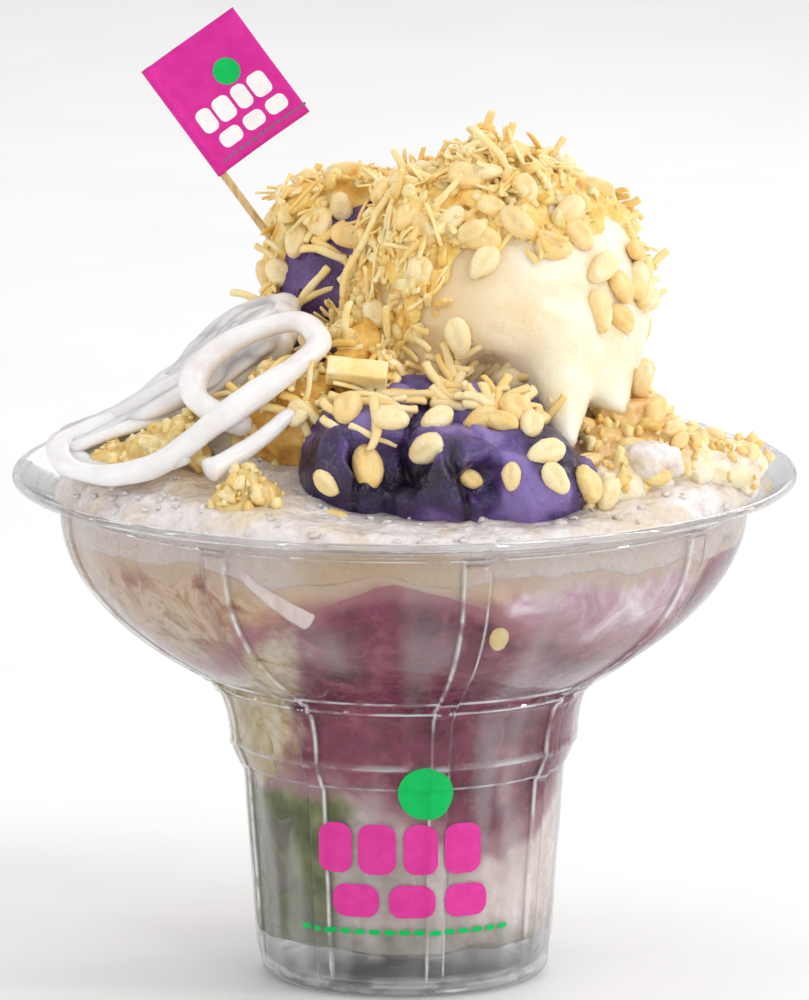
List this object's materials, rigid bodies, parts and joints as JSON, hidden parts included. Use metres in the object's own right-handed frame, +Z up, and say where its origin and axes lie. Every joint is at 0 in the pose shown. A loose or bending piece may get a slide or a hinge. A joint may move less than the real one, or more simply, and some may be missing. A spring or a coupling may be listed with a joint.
{
  "type": "halo halo dessert in a clear sundae cup",
  "caption": "Layered shaved ice dessert in a ribbed clear cup, heaped with ice cream, ube, coconut strands and grated cheese, with a paper flag on a pick.",
  "frame": {"origin": "on the cup's axis, in the plane of the foot ring that it stands on", "axes": "+Z up along the cup's axis; the front of the dessert, where the ube jam lies, faces -Y; the flag leans to -X"},
  "size_m": [0.1296, 0.1296, 0.1601],
  "materials": {
    "clear_plastic": "thin clear thermoformed plastic with raised ribs and a small printed patch",
    "syrup": "clear melted ice and syrup",
    "milk_ice": "wet milky crushed ice",
    "green_jelly": "dark green jelly, wet",
    "jackfruit": "yellow syrupy fruit",
    "ube_ice": "mauve slush with a wet surface",
    "cream_ice": "beige milk and cream soaked ice",
    "shaved_ice": "white fluffy shaved ice",
    "ice_cream": "smooth melting vanilla ice cream",
    "ube_jam": "glossy dark violet yam jam",
    "ube_scoop": "violet scoop, grainy and soft",
    "coconut": "white translucent syrupy strands",
    "cheese": "finely grated pale yellow cheese",
    "crisped_rice": "dry pale golden puffed grains",
    "pick_wood": "round bare wooden pick",
    "flag_paper": "pink printed paper with plain green and white shapes"
  },
  "bodies": {
    "root": {"cup": "clear_plastic", "clear_syrup": "syrup", "milk_ice": "milk_ice", "green_jelly": "green_jelly", "collar_jackfruit": "jackfruit", "ube_ice": "ube_ice", "cream_ice": "cream_ice", "shaved_ice": "shaved_ice", "ice_cream_scoop": "ice_cream", "front_ube_jam": "ube_jam", "back_ube_scoop": "ube_scoop", "coconut_strand": "coconut", "coconut_bundle": "coconut", "top_cheese": "cheese", "back_cheese": "cheese", "valley_cheese": "cheese", "cheese_stick": "cheese", "left_jackfruit": "jackfruit", "front_jackfruit": "jackfruit", "right_crumbs": "crisped_rice", "flag_pick": "pick_wood", "flag_paper": "flag_paper"}
  },
  "joints": []
}
